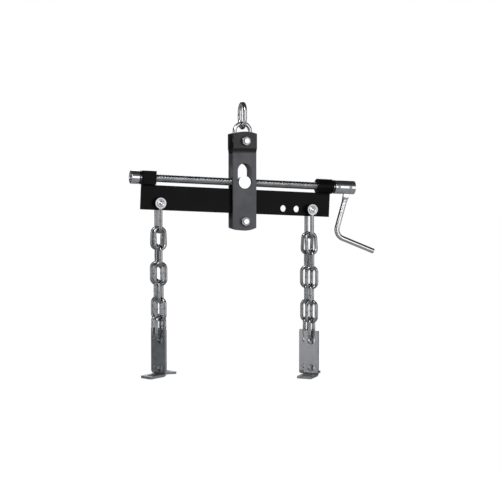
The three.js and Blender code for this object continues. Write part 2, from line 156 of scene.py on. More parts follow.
def make_finish(name, dark, light, metallic, gloss, patch_size, grain_size, grain_depth):
    """A material whose colour lies between dark and light, and its roughness between the two in gloss."""
    material = bpy.data.materials.new(name)
    material.use_nodes = True
    nodes, links = material.node_tree.nodes, material.node_tree.links
    shader = nodes["Principled BSDF"]
    shader.inputs["Metallic"].default_value = metallic
    place = nodes.new("ShaderNodeTexCoord")
    patches = add_noise(nodes, links, place, patch_size, detail=2)
    patches.inputs["Roughness"].default_value = 0.6
    tones = add_tones(nodes, links, patches, dark, light)
    sheen = nodes.new("ShaderNodeMapRange")
    sheen.inputs["From Min"].default_value = noise_low
    sheen.inputs["From Max"].default_value = noise_high
    sheen.inputs["To Min"].default_value, sheen.inputs["To Max"].default_value = gloss
    grain = add_noise(nodes, links, place, grain_size, detail=3)
    bump = nodes.new("ShaderNodeBump")
    bump.inputs["Strength"].default_value = 1
    bump.inputs["Distance"].default_value = grain_depth
    links.new(patches.outputs["Fac"], sheen.inputs["Value"])
    links.new(tones.outputs["Color"], shader.inputs["Base Color"])
    links.new(sheen.outputs["Result"], shader.inputs["Roughness"])
    links.new(grain.outputs["Fac"], bump.inputs["Height"])
    links.new(bump.outputs["Normal"], shader.inputs["Normal"])
    return material


# %% The five finishes of the parts list
paint_specular = 0.07
finishes = {
    "black_paint": make_finish("semi-gloss black paint", (0.002, 0.002, 0.0025), (0.006, 0.006, 0.007),
                               paint, (0.24, 0.34), 40 * mm, 0.9 * mm, 0.004 * mm),
    "bright_zinc": make_finish("bright zinc plate", (0.66, 0.67, 0.69), (0.78, 0.79, 0.81),
                               metal, (0.1, 0.17), 14 * mm, 0.8 * mm, 0.0004 * mm),
    "chain_zinc": make_finish("zinc-plated chain", (0.31, 0.32, 0.33), (0.46, 0.47, 0.49),
                              metal, (0.12, 0.2), 9 * mm, 0.9 * mm, 0.0006 * mm),
    "dark_steel": make_finish("dark oiled steel", (0.05, 0.052, 0.055), (0.13, 0.135, 0.14),
                              metal, (0.25, 0.4), 12 * mm, 0.8 * mm, 0.002 * mm),
    "plain_steel": make_finish("plain bracket steel", (0.30, 0.31, 0.33), (0.42, 0.43, 0.45),
                               metal, (0.3, 0.42), 16 * mm, 0.9 * mm, 0.003 * mm),
}
black_shader = finishes["black_paint"].node_tree.nodes["Principled BSDF"]
black_shader.inputs["Specular IOR Level"].default_value = paint_specular
print("finishes:", ", ".join(material.name for material in finishes.values()))

# %% Every CAD node starts with its finish
for node, part in frame["nodes"].items():
    part.data.materials.clear()
    part.data.materials.append(finishes[slot_of[node]])
print("slots in use:", ", ".join(sorted(set(slot_of.values()))))

# %% [markdown]
# The photograph shows three more. The lower faces of the carriage plates are painted a lighter charcoal,
# which is painted light, while the pressed-out top and the step below it keep a deep black, which is painted
# shade. The nuts are duller than the bolts in them, and the screw and the shackles are a darker zinc than
# the crank.

# %% Dull zinc for the nuts, darker zinc for screw and shackles
grey_zinc = make_finish("darker zinc plate", (0.32, 0.33, 0.34), (0.46, 0.47, 0.49),
                        metal, (0.1, 0.17), 14 * mm, 0.8 * mm, 0.0004 * mm)
dull_zinc = make_finish("dull zinc nut", (0.22, 0.23, 0.24), (0.36, 0.37, 0.39),
                        metal, (0.26, 0.38), 6 * mm, 0.6 * mm, 0.001 * mm)
print("more finishes:", grey_zinc.name, "and", dull_zinc.name)


# %% Carriage plate paint: painted light below, painted shade above
# The charcoal tones are painted light on the plates' lower faces.
lit_grey_dark, lit_grey_light = (0.058, 0.059, 0.068), (0.078, 0.079, 0.09)
lit_grey_patch = 22 * mm
first_colour, second_colour, mixed_colour = 6, 7, 2  # the Mix node's sockets for colours


def plate_paint_with_painted_light(black_above, painted_light_below):
    """Painted shade of black above a height, painted light of charcoal below another, and a soft change
    between them.
    """
    material = make_finish("rubbed black paint", (0.006, 0.006, 0.007), (0.011, 0.011, 0.012),
                           paint, (0.3, 0.42), 30 * mm, 0.7 * mm, 0.004 * mm)
    nodes, links = material.node_tree.nodes, material.node_tree.links
    place, black = nodes["Texture Coordinate"], nodes["Color Ramp"]
    height = nodes.new("ShaderNodeSeparateXYZ")
    # Height mask: painted light below the step, painted shade of deep black above it.
    shade_to_light = nodes.new("ShaderNodeMapRange")
    shade_to_light.interpolation_type = "SMOOTHSTEP"
    shade_to_light.inputs["From Min"].default_value = black_above
    shade_to_light.inputs["From Max"].default_value = painted_light_below
    cloud = add_noise(nodes, links, place, lit_grey_patch, detail=4)
    lit_grey = add_tones(nodes, links, cloud, lit_grey_dark, lit_grey_light)
    mix = nodes.new("ShaderNodeMix")
    mix.data_type = "RGBA"
    links.new(place.outputs["Object"], height.inputs["Vector"])
    links.new(height.outputs["Z"], shade_to_light.inputs["Value"])
    links.new(shade_to_light.outputs["Result"], mix.inputs["Factor"])
    links.new(black.outputs["Color"], mix.inputs[first_colour])
    links.new(lit_grey.outputs["Color"], mix.inputs[second_colour])
    links.new(mix.outputs[mixed_colour], nodes["Principled BSDF"].inputs["Base Color"])
    return material


# %% [markdown]
# ## Tools for turned, drilled and bent pieces
# Nearly every piece is a bar that was turned, drilled or bent, so a few helpers make most of the
# leveler: a round bar along an axis, a boolean that drills or joins, a rim that is pulled or swept along
# the way that a rod takes, and a last step that softens the edges, gives the finish and hangs the piece
# on its body.


# %% Round and square bars
round_sides, large_sides, hole_sides, pin_sides, hexagon_sides = 64, 96, 48, 40, 6


def round_bar(axis, diameter, start, end, sides=round_sides):
    """A cylinder along an axis, from one place on it to another."""
    turns = {"X": Matrix.Rotation(pi / 2, 4, "Y"), "Y": Matrix.Rotation(-pi / 2, 4, "X"), "Z": Matrix()}
    middle = Matrix.Translation((0, 0, (start + end) / 2))
    shape = bmesh.new()
    bmesh.ops.create_cone(shape, cap_ends=True, segments=sides, radius1=diameter / 2,
                          radius2=diameter / 2, depth=end - start, matrix=turns[axis] @ middle)
    return shape


def turned(profile, steps=round_sides):
    """A body turned about Y, from points of (place on the axis, radius) that start and end on it."""
    shape = bmesh.new()
    verts = [shape.verts.new((radius, along, 0)) for along, radius in profile]
    edges = [shape.edges.new(pair) for pair in zip(verts, verts[1:])]
    bmesh.ops.spin(shape, geom=verts + edges, cent=(0, 0, 0), axis=(0, 1, 0), angle=2 * pi, steps=steps,
                   use_merge=True)
    bmesh.ops.remove_doubles(shape, verts=shape.verts, dist=merge_gap)
    bmesh.ops.recalc_face_normals(shape, faces=shape.faces)
    return shape


def block_between(low, high):
    """A box between two corners."""
    size = Vector(high) - Vector(low)
    shape = bmesh.new()
    bmesh.ops.create_cube(shape, size=1, matrix=Matrix.Translation((Vector(high) + Vector(low)) / 2)
                          @ Matrix.Diagonal((*size, 1)))
    return shape


# %% Put a shape's corners and faces in a fixed order
order_digits = 7


def in_order(shape):
    """The shape built anew in order of place, since a boolean leaves its faces in another order each run."""
    ordered = bmesh.new()
    corners = {vert: ordered.verts.new(vert.co) for vert in
               sorted(shape.verts, key=lambda vert: [round(place, order_digits) for place in vert.co])}
    ordered.verts.index_update()
    rings = []
    for face in shape.faces:
        ring = [corners[vert] for vert in face.verts]
        first = min(range(len(ring)), key=lambda step: ring[step].index)
        rings.append(ring[first:] + ring[:first])
    for ring in sorted(rings, key=lambda ring: [vert.index for vert in ring]):
        ordered.faces.new(ring)
    shape.free()
    return ordered


# %% Drill, join or keep what two shapes share
def boolean(shape, operation, *others):
    """The shape after a DIFFERENCE, UNION or INTERSECT with each of the others."""
    for other in others:
        pair = []
        for mesh_shape in (shape, other):
            mesh = bpy.data.meshes.new("workpiece")
            mesh_shape.to_mesh(mesh)
            mesh_shape.free()
            pair.append(bpy.data.objects.new("workpiece", mesh))
            scene.collection.objects.link(pair[-1])
        cutter = pair[0].modifiers.new("boolean", "BOOLEAN")
        cutter.operation = operation
        cutter.solver = "EXACT"
        cutter.object = pair[1]
        shape = bmesh.new()
        shape.from_object(pair[0], bpy.context.evaluated_depsgraph_get())
        for spent in pair:
            mesh = spent.data
            bpy.data.objects.remove(spent)
            bpy.data.meshes.remove(mesh)
        shape = in_order(shape)
    return shape


def drilled(shape, *cutters):
    """The shape with each cutter taken out of it."""
    return boolean(shape, "DIFFERENCE", *cutters)


def moved(shape, x=0.0, y=0.0, z=0.0):
    """The same shape, pushed along."""
    bmesh.ops.translate(shape, verts=shape.verts, vec=(x, y, z))
    return shape


# %% Pull and sweep the open end of a rod
def rod_end(shape, diameter, place, sides, closed=False):
    """A circle that a rod starts from, and the edges of its rim."""
    ring = bmesh.ops.create_circle(shape, segments=sides, radius=diameter / 2, cap_ends=closed,
                                   matrix=place)["verts"]
    return list(dict.fromkeys(edge for vert in ring for edge in vert.link_edges))


def pulled(shape, edges, vector):
    """Extrudes a rim along a vector, and gives back the new rim's edges and corners."""
    grown = bmesh.ops.extrude_edge_only(shape, edges=edges)["geom"]
    verts = [item for item in grown if isinstance(item, bmesh.types.BMVert)]
    bmesh.ops.translate(shape, verts=verts, vec=vector)
    return [item for item in grown if isinstance(item, bmesh.types.BMEdge)], verts


def swept(shape, edges, centre, axis, angle, steps):
    """Spins a rim about an axis, and gives back the last rim's edges."""
    last = bmesh.ops.spin(shape, geom=edges, cent=centre, axis=axis, angle=angle, steps=steps,
                          use_merge=False)["geom_last"]
    return [item for item in last if isinstance(item, bmesh.types.BMEdge)]


# %% Cut and ease the stretch that a press bends
def cut_across(shape, start, end, steps):
    """Cuts the faces at even heights from start to end, so that this stretch can bend smoothly."""
    for step in range(steps + 1):
        level = start + (end - start) * step / steps
        bmesh.ops.bisect_plane(shape, geom=shape.verts[:] + shape.edges[:] + shape.faces[:],
                               plane_co=(0, 0, level), plane_no=(0, 0, 1))


def eased(value, start, end):
    """Nought before start, one after end, and an even S between them."""
    share = min(max((value - start) / (end - start), 0), 1)
    return 3 * share ** 2 - 2 * share ** 3


# %% Finish a piece and hang it on its body
flat_angle, edge_angle, edge_segments = radians(0.5), radians(38), 3


def add_piece(node, shape, place=Matrix(), edge=0.5 * mm, finish=None, name=None):
    """Makes the object that stands for a CAD node; with a name of its own it goes on top of the node."""
    bmesh.ops.transform(shape, matrix=place, verts=shape.verts)
    bmesh.ops.remove_doubles(shape, verts=shape.verts, dist=merge_gap)
    bmesh.ops.dissolve_limit(shape, angle_limit=flat_angle, verts=shape.verts, edges=shape.edges)
    bmesh.ops.recalc_face_normals(shape, faces=shape.faces)
    mesh = bpy.data.meshes.new(name or f"{node}_finished")
    shape.to_mesh(mesh)
    shape.free()
    mesh.materials.append(finish or finishes[slot_of[node]])
    mesh.shade_smooth()
    piece = bpy.data.objects.new(mesh.name, mesh)
    scene.collection.objects.link(piece)
    if edge:
        rounding = piece.modifiers.new("edges", "BEVEL")
        rounding.width = edge
        rounding.segments = edge_segments
        rounding.limit_method = "ANGLE"
        rounding.angle_limit = edge_angle
        rounding.miter_outer = "MITER_ARC"
    weights = piece.modifiers.new("normals", "WEIGHTED_NORMAL")
    weights.keep_sharp = True
    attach(piece, body_of[node])
    if name is None:
        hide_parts(node)
    return piece


# %% [markdown]
# ## Links
# A link is a piece of wire bent to a long loop and butt-welded in one leg, which leaves a low swelling
# there. One rim makes it: pulled up one leg, swept over the top, pulled down the other leg and swept
# round the foot. The hoist links and the chain links differ only in size.

# %% Bend a link from wire
weld_share, slope_share = 0.7, 0.3


def bend_link(wire, width, length, sides, steps, swelling):
    """A welded link in its own XZ plane, its length along Z and its weld in the right leg."""
    bend = (width - wire) / 2
    leg = length - width
    weld = wire * weld_share
    swell = 1 + swelling / wire
    shape = bmesh.new()
    edges = rod_end(shape, wire, Matrix.Translation((bend, 0, -leg / 2)), sides)
    plain, slope = (leg - weld) / 2, weld * slope_share
    crown = weld - 2 * slope
    for distance, scale in ((plain, 1), (slope, swell), (crown, 1), (slope, 1 / swell), (plain, 1)):
        edges, verts = pulled(shape, edges, (0, 0, distance))
        middle = sum((vert.co for vert in verts), Vector()) / len(verts)
        bmesh.ops.scale(shape, verts=verts, vec=(scale, scale, 1), space=Matrix.Translation(-middle))
    edges = swept(shape, edges, (0, 0, leg / 2), (0, 1, 0), -pi, steps)
    edges = pulled(shape, edges, (0, 0, -leg))[0]
    swept(shape, edges, (0, 0, -leg / 2), (0, 1, 0), -pi, steps)
    bmesh.ops.remove_doubles(shape, verts=shape.verts, dist=10 * merge_gap)
    return shape


# %% Hoist links
hoist_low, hoist_high = extent("hoist_link_lower")
hoist_wire = hoist_high.y - hoist_low.y
hoist_size = hoist_high - hoist_low
for node, turn in (("hoist_link_upper", pi / 2), ("hoist_link_lower", 0)):
    low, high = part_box(node)
    place = Matrix.Translation((Vector(low) + Vector(high)) / 2) @ Matrix.Rotation(turn, 4, "Z")
    shape = bend_link(hoist_wire, hoist_size.x, hoist_size.z, sides=24, steps=20, swelling=0.5 * mm)
    add_piece(node, shape, place, edge=0)
print("hoist link wire in mm:", round(hoist_wire / mm, 2))

# %% [markdown]
# ## Chain
# Each strand has six links, and each link hangs from the wire above it. The joints say where: the hinge
# below a link runs along that link's lower wire, so its direction is the link's own plane, and the step
# sideways from one hinge to the next is the link's splay.

# %% Hang the chain links
chain_wire, chain_width, chain_length = 7 * mm, 28 * mm, 50 * mm
chain_nodes = [node for node in frame["nodes"] if "_link_" in node and not node.startswith("hoist")]
for node in sorted(chain_nodes):
    body = body_of[node]
    hinge_above, hinge_below = joint_into[body], joints_from[body][0]
    turn = atan2(hinge_below["axis"][1], hinge_below["axis"][0])
    sideways = hinge_below["pos_m"][1] - hinge_above["pos_m"][1]
    splay = asin(sideways / (chain_length - chain_wire))
    low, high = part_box(node)
    place = (Matrix.Translation((Vector(low) + Vector(high)) / 2)
             @ Matrix.Rotation(splay, 4, "X") @ Matrix.Rotation(turn, 4, "Z"))
    shape = bend_link(chain_wire, chain_width, chain_length, sides=20, steps=16, swelling=0.6 * mm)
    add_piece(node, shape, place, edge=0)
print("chain links:", len(chain_nodes))


# %% [markdown]
# ## Carriage
# Two identical plates, cut with arched ends and a long slot, then pressed so that their tops stand wider
# for the hoist link. The outline is one face, extruded to the sheet's thickness and drilled. Cuts across
# the step then let the upper part shift outwards without stretching the rest.


# %% A sheet from an outline
def sheet(outline, thickness):
    """A sheet in the XZ plane, its thickness centred on Y."""
    shape = bmesh.new()
    face = shape.faces.new([shape.verts.new((x, -thickness / 2, z)) for x, z in outline])
    grown = bmesh.ops.extrude_face_region(shape, geom=[face])["geom"]
    verts = [item for item in grown if isinstance(item, bmesh.types.BMVert)]
    bmesh.ops.translate(shape, verts=verts, vec=(0, thickness, 0))
    bmesh.ops.recalc_face_normals(shape, faces=shape.faces)
    return shape


def arc(x, z, radius, start, end, steps):
    """Points of an arc in the XZ plane, both ends included, with its angles in degrees."""
    angles = [radians(start + (end - start) * step / steps) for step in range(steps + 1)]
    return [(x + radius * cos(angle), z + radius * sin(angle)) for angle in angles]


# %% Cut, drill and press the carriage plates
plate_low, plate_high = extent("carriage_plate_front")
plate_half = (plate_high.x - plate_low.x) / 2
plate_thickness = 5 * mm
top_rise, foot_rise, arch_steps = 4.2 * mm, 5.7 * mm, 24
top_bolt_z = joint_into["carriage"]["pos_m"][2]
bottom_bolt_z = sum(corner.z for corner in extent("bottom_sleeve")) / 2
bolt_bore = 10.6 * mm
trunnion_low, trunnion_high = extent("trunnion_nut", beam_frame)
trunnion_diameter = trunnion_high.x - trunnion_low.x
slot_radius, slot_length, slot_steps = 15 * mm, 51.9 * mm, 32
slot_foot = joint_into["trunnion"]["pos_m"][2] - trunnion_diameter / 2 - fit
slot_top = slot_foot + slot_length
joggle_drop, joggle_height, joggle_steps = 13.2 * mm, 10.6 * mm, 6
joggle_top = top_bolt_z - joggle_drop
joggle_foot = joggle_top - joggle_height
joggle_depth = (plate_high.y - plate_low.y) - plate_thickness


def arched(crown, rise, upwards):
    """An arched end of the plate, from one long edge to the other."""
    radius = (plate_half ** 2 + rise ** 2) / (2 * rise)
    spread = asin(plate_half / radius) * 180 / pi
    if upwards:
        return arc(0, crown - radius, radius, 90 - spread, 90 + spread, arch_steps)
    return arc(0, crown + radius, radius, 270 - spread, 270 + spread, arch_steps)


def carriage_plate():
    """The front plate, with its lower part flat and its upper part standing forwards."""
    outline = arched(plate_high.z, top_rise, True) + arched(plate_low.z, foot_rise, False)
    slot_outline = (arc(0, slot_top - slot_radius, slot_radius, 0, 180, slot_steps)
                    + arc(0, slot_foot + slot_radius, slot_radius, 180, 360, slot_steps))
    reach = plate_thickness
    plate = drilled(
        sheet(outline, plate_thickness), sheet(slot_outline, 2 * reach),
        moved(round_bar("Y", bolt_bore, -reach, reach), z=top_bolt_z),
        moved(round_bar("Y", bolt_bore, -reach, reach), z=bottom_bolt_z))
    cut_across(plate, joggle_foot, joggle_top, joggle_steps)
    for vert in plate.verts:
        vert.co.y -= joggle_depth * eased(vert.co.z, joggle_foot, joggle_top)
    return moved(plate, y=plate_high.y - plate_thickness / 2)


# %% The two plates and their paint, with painted light below the step and painted shade above
plate_light_and_shade = plate_paint_with_painted_light(joggle_foot + 1 * mm, joggle_foot - 2 * mm)
for node, turn in (("carriage_plate_front", 0), ("carriage_plate_rear", pi)):
    add_piece(node, carriage_plate(), Matrix.Rotation(turn, 4, "Z"), edge=0.7 * mm, finish=plate_light_and_shade)
print("slot in mm:", round((slot_top - slot_foot) / mm, 1), "by", round(2 * slot_radius / mm, 1))

# %% [markdown]
# ## Bolts, nuts and sleeves
# The plates are held by two hexagon bolts, each with a spacer sleeve between the plates. A chamfered
# corner tells a real nut from a prism. The real hexagon is bar stock whose corners a lathe turns off, and
# here the prism keeps what it shares with such a turned blank.

# %% Hexagons with turned corners
face_share, chamfer = 0.48, radians(30)


def hexagon(across, start, end):
    """A hexagon along Y whose corners a lathe has turned off at both ends."""
    corner = across / sqrt(3)
    face = across * face_share
    slope = (corner - face) * tan(chamfer)
    low, high = min(start, end), max(start, end)
    blank = turned([(low, 0), (low, face), (low + slope, corner),
                    (high - slope, corner), (high, face), (high, 0)])
    return boolean(round_bar("Y", 2 * corner, low, high, hexagon_sides), "INTERSECT", blank)


# %% Carriage bolts
overlap = 1 * mm


def add_bolt_set(name):
    """The bolt, nut and sleeve that carry the given name."""
    nut_low, nut_high = extent(f"{name}_nut")
    bolt_low, bolt_high = extent(f"{name}_bolt")
    sleeve_low, sleeve_high = extent(f"{name}_sleeve")
    level = (nut_low.z + nut_high.z) / 2
    across = nut_high.x - nut_low.x
    shank = bolt_bore - 2 * fit
    head_foot = -nut_high.y
    bolt = boolean(hexagon(across, head_foot, bolt_high.y), "UNION",
                   round_bar("Y", shank, bolt_low.y, head_foot + overlap, pin_sides))
    nut = drilled(hexagon(across, nut_low.y, nut_high.y),
                  round_bar("Y", bolt_bore, bolt_low.y, 0, pin_sides))
    sleeve = drilled(round_bar("Y", sleeve_high.x - sleeve_low.x, sleeve_low.y, sleeve_high.y),
                     round_bar("Y", bolt_bore, 2 * sleeve_low.y, 2 * sleeve_high.y, pin_sides))
    add_piece(f"{name}_bolt", moved(bolt, z=level), edge=0.6 * mm)
    add_piece(f"{name}_nut", moved(nut, z=level), edge=0.8 * mm, finish=dull_zinc)
    add_piece(f"{name}_sleeve", moved(sleeve, z=level))
    print(name, "bolt: across the flats in mm:", round(across / mm, 1))


add_bolt_set("top")
add_bolt_set("bottom")

# %% [markdown]
# ## Beam
# The bar is a flat with four pin holes. The square bearing at its left end and the round one at its right
# end are welded to its top edge, so a low bead runs along each foot. A bead is turned with round tips and
# copied to the bar's other side. The two don't touch, so no boolean is needed.

# %% Bar with its holes and saddle
screw_low, screw_high = extent("screw", beam_frame)
screw_diameter = screw_high.y - screw_low.y
screw_bore = screw_diameter + 2 * fit
bar_low, bar_high = extent("beam_bar", beam_frame)
boss_low, boss_high = extent("right_bearing_boss", beam_frame)
boss_diameter = boss_high.y - boss_low.y
pin_bore = 13.6 * mm
hole_pitch = 29.3 * mm
pin_spots = [beam_frame.inverted() @ Vector(joint_into[f"{side}_clevis"]["pos_m"])
             for side in ("left", "right")]
hole_spots = [pin_spots[0].x] + [pin_spots[1].x - step * hole_pitch for step in range(3)]
thick = bar_high.y - bar_low.y
bar = drilled(
    block_between(bar_low, bar_high),
    round_bar("X", boss_diameter + 2 * fit, boss_low.x - fit, boss_high.x + thick),
    *[moved(round_bar("Y", pin_bore, -thick, thick), x=spot, z=pin_spots[0].z) for spot in hole_spots])
add_piece("beam_bar", bar, beam_frame, edge=0.6 * mm)
print("bar length in mm:", round((bar_high.x - bar_low.x) / mm, 1))

# %% Bearings
block_low, block_high = extent("left_bearing_block", beam_frame)
bearing_block = drilled(block_between(block_low, block_high),
                        round_bar("X", screw_bore, block_low.x - thick, block_high.x + thick))
add_piece("left_bearing_block", bearing_block, beam_frame, edge=1.4 * mm)
boss = drilled(round_bar("X", boss_diameter, boss_low.x, boss_high.x, large_sides),
               round_bar("X", screw_bore, boss_low.x - thick, boss_high.x + thick))
add_piece("right_bearing_boss", boss, beam_frame, edge=0.8 * mm)
print("bearings in mm:", round((block_high.z - block_low.z) / mm, 1), "square and",
      round(boss_diameter / mm, 1), "round")


# %% Weld beads under the bearings
bead_radius, bead_sides = 2.2 * mm, 16
tip_angles = [radians(angle) for angle in range(0, 91, 18)]


def add_bead(node, start, end, level, name):
    """Two welds, one along each side of the bar, where a bearing sits on it."""
    tip = [(bead_radius * (1 - cos(angle)), bead_radius * sin(angle)) for angle in tip_angles]
    profile = ([(start + along, radius) for along, radius in tip]
               + [(end - along, radius) for along, radius in reversed(tip)])
    beads = turned(profile, bead_sides)
    bmesh.ops.transform(beads, matrix=Matrix.Rotation(-pi / 2, 4, "Z"), verts=beads.verts)
    moved(beads, y=-thick / 2, z=level)
    twin = bmesh.ops.duplicate(beads, geom=beads.verts[:] + beads.edges[:] + beads.faces[:])["geom"]
    bmesh.ops.translate(beads, verts=[item for item in twin if isinstance(item, bmesh.types.BMVert)],
                        vec=(0, thick, 0))
    add_piece(node, beads, beam_frame, edge=0, name=name)
    print(name, "in mm:", round((end - start) / mm, 1))


add_bead("left_bearing_block", bar_low.x + fit, block_high.x, bar_high.z, "left_weld")
add_bead("right_bearing_boss", boss_low.x, bar_high.x - fit, -boss_diameter / 2, "right_weld")

# %% [markdown]
# ## Screw
# The screw has a trapezoid thread with eight turns to the inch, cut shallower here than on the real one
# because the photograph shows it nearly smooth. One pitch of its profile, spun round the axis with a
# small step forwards each time, makes the whole thread, and two cuts square off its ends.

# %% Cut the thread
lead = 3.175 * mm
thread_depth = 0.6 * mm
thread_steps, spare_turns = 24, 2
crest, root = screw_diameter / 2, screw_diameter / 2 - thread_depth
thread_profile = [(0.0, root), (0.1, root), (0.22, crest), (0.78, crest), (0.9, root), (1.0, root)]


def threaded_rod(start, end):
    """The rod between two places on X, closed at both ends."""
    shape = bmesh.new()
    verts = [shape.verts.new((start + (share - spare_turns) * lead, 0, radius))
             for share, radius in thread_profile]
    edges = [shape.edges.new(pair) for pair in zip(verts, verts[1:])]
    turns = int((end - start) / lead) + 2 * spare_turns
    bmesh.ops.spin(shape, geom=verts + edges, cent=(0, 0, 0), axis=(1, 0, 0), angle=2 * pi * turns,
                   steps=turns * thread_steps, dvec=(lead / thread_steps, 0, 0), use_merge=False)
    bmesh.ops.remove_doubles(shape, verts=shape.verts, dist=20 * merge_gap)
    for place, normal in ((start, -1), (end, 1)):
        bmesh.ops.bisect_plane(shape, geom=shape.verts[:] + shape.edges[:] + shape.faces[:],
                               plane_co=(place, 0, 0), plane_no=(normal, 0, 0), clear_outer=True)
        rim = [edge for edge in shape.edges if edge.is_boundary
               and all(abs(vert.co.x - place) < 10 * merge_gap for vert in edge.verts)]
        bmesh.ops.holes_fill(shape, edges=rim, sides=0)
    return shape


add_piece("screw", threaded_rod(screw_low.x, screw_high.x), beam_frame, edge=0, finish=grey_zinc)
print("screw in mm:", round((screw_high.x - screw_low.x) / mm, 1), "long,",
      round(screw_diameter / mm, 1), "thick")

# %% [markdown]
# ## Nut and rings on the screw
# The trunnion nut is a short round bar across the screw, which lets the beam tilt in the carriage's slot.
# A thrust ring outside each bearing keeps the screw from sliding in the beam, and a set screw holds the
# ring. Turned parts like these have small even chamfers, so each one gets its own edge width.

# %% Trunnion nut
trunnion = drilled(round_bar("Y", trunnion_diameter, trunnion_low.y, trunnion_high.y, large_sides),
                   round_bar("X", screw_bore, -trunnion_diameter, trunnion_diameter))
add_piece("trunnion_nut", trunnion, beam_frame, edge=0.9 * mm)
print("trunnion in mm:", round(trunnion_diameter / mm, 1))

# %% Thrust rings with their set screws
key_share, key_depth = 0.5, 1.4 * mm
seat_sides, set_screw_sides = 24, 32
for side in ("left", "right"):
    low, high = extent(f"{side}_thrust_ring", beam_frame)
    pin_low, pin_high = extent(f"{side}_set_screw", beam_frame)
    pin_diameter = pin_high.x - pin_low.x
    middle = (pin_low.x + pin_high.x) / 2
    tall = high.y - low.y
    ring = drilled(round_bar("X", tall, low.x, high.x, large_sides),
                   round_bar("X", screw_bore, low.x - tall, high.x + tall),
                   moved(round_bar("Y", pin_diameter + 2 * fit, -tall, pin_high.y + fit, seat_sides),
                         x=middle))
    add_piece(f"{side}_thrust_ring", ring, beam_frame, edge=0.35 * mm)
    key_hole = round_bar("Y", pin_diameter * key_share, -tall, pin_low.y + key_depth, hexagon_sides)
    set_screw = drilled(round_bar("Y", pin_diameter, pin_low.y, pin_high.y, set_screw_sides), key_hole)
    add_piece(f"{side}_set_screw", moved(set_screw, x=middle), beam_frame, edge=0.15 * mm)
    print(side, "thrust ring in mm:", round(tall / mm, 1))

# %% Collar at the left end
low, high = extent("left_collar", beam_frame)
collar_diameter = high.y - low.y
collar = drilled(round_bar("X", collar_diameter, low.x, high.x, large_sides),
                 round_bar("X", screw_bore, low.x - thick, high.x + thick))
add_piece("left_collar", collar, beam_frame, edge=1.1 * mm)
print("collar in mm:", round(collar_diameter / mm, 1))

# %% [markdown]
# ## Socket of the crank
# The socket is a turned bar, bored for the screw from one end and slotted from the other into a fork. A
# cross pin fixes it to the screw, and the crank folds on a pivot pin through the fork's cheeks. Drilling
# it in that order keeps the holes round where they cross the slot.

# %% Forked socket and its two pins
socket_low, socket_high = extent("crank_socket", beam_frame)
socket_diameter = socket_high.y - socket_low.y
fork_gap = 7 * mm
fork_floor = screw_high.x + fit
reach = socket_diameter
pins, pin_cuts = {}, []
for node in ("socket_cross_pin", "crank_pivot_pin"):
    low, high = extent(node, beam_frame)
    pin_diameter, middle = high.x - low.x, (low.x + high.x) / 2
    pin_cuts.append(moved(round_bar("Y", pin_diameter + 2 * fit, -reach, reach, pin_sides), x=middle))
    pins[node] = moved(round_bar("Y", pin_diameter, low.y, high.y, pin_sides), x=middle)
socket = drilled(
    round_bar("X", socket_diameter, socket_low.x, socket_high.x, large_sides),
    round_bar("X", screw_bore, socket_low.x - thick, fork_floor),
    block_between((fork_floor, -fork_gap / 2, -reach), (socket_high.x + thick, fork_gap / 2, reach)),
    *pin_cuts)
add_piece("crank_socket", socket, beam_frame, edge=0.6 * mm)
for node, pin in pins.items():
    add_piece(node, pin, beam_frame, edge=0.4 * mm)
print("socket in mm:", round(socket_diameter / mm, 1), "across, fork", round(fork_gap / mm, 1))

# %% [markdown]
# ## Crank
# The crank is one round rod, bent once, whose upper end was forged flat to fit between the fork's
# cheeks. It starts as a circle that is pulled down the arm, swept round the bend and pulled out along the
# grip. The flat end comes from widening the upper rings and pressing them to the tongue's thickness.

# %% Bend and forge the crank
crank_rod, crank_arm, crank_grip = 11 * mm, 105 * mm, 95 * mm
bend_radius, bend_turn = 20 * mm, radians(85)
tongue_width, tongue_thickness, tongue_length = 15 * mm, 6 * mm, 34 * mm
taper_share, tip_step, tongue_steps = 0.55, 8, 14
crank_sides, crank_bend_steps = 32, 20
setback = bend_radius * tan(bend_turn / 2)
bend_level = setback - crank_arm
levels = [tongue_width / 2 * cos(radians(angle)) for angle in range(tip_step, 91, tip_step)]
levels += [-tongue_length * step / tongue_steps for step in range(1, tongue_steps + 3)]
levels.append(bend_level)
grip_turn = pi / 2 - bend_turn
along_grip = Vector((cos(grip_turn), 0, -sin(grip_turn)))

crank = bmesh.new()
edges = rod_end(crank, crank_rod, Matrix.Translation((0, 0, levels[0])), crank_sides, closed=True)
for level, next_level in zip(levels, levels[1:]):
    edges = pulled(crank, edges, (0, 0, next_level - level))[0]
edges = swept(crank, edges, (bend_radius, 0, bend_level), (0, 1, 0), -bend_turn, crank_bend_steps)
edges = pulled(crank, edges, along_grip * (crank_grip - setback))[0]
bmesh.ops.contextual_create(crank, geom=edges)
for vert in crank.verts:
    z = vert.co.z
    if z > -tongue_length:
        blend = eased(z, -tongue_length, tongue_length * (taper_share - 1))
        width = crank_rod + (tongue_width - crank_rod) * blend
        if z > 0:
            width = 2 * sqrt(max((tongue_width / 2) ** 2 - z ** 2, 0))
        limit = crank_rod / 2 + (tongue_thickness / 2 - crank_rod / 2) * blend
        vert.co.x *= width / crank_rod
        vert.co.y = max(min(vert.co.y, limit), -limit)
pivot_low, pivot_high = extent("crank_pivot_pin", beam_frame)
pivot_bore = pivot_high.x - pivot_low.x + 2 * fit
crank = drilled(crank, round_bar("Y", pivot_bore, -crank_rod, crank_rod, pin_sides))
add_piece("crank", crank, crank_frame, edge=0.5 * mm)
crank_low, crank_high = extent("crank")
print("crank width in mm:", round((crank_high.x - crank_low.x) / mm, 1))

# %% [markdown]
# ## Shackles
# A shackle is a bent rod with a flattened eye at each end. A headed pin goes through both eyes and the
# bar, and a nut holds it at the rear. The pin's head is turned with a shallow groove round a domed
# middle, which is what catches the light in the photograph.

# %% Bend a shackle
shackle_rod, shackle_spread, shackle_reach, shackle_corner = 8 * mm, 33 * mm, 57 * mm, 8 * mm
shackle_sides, corner_turns = 24, 12


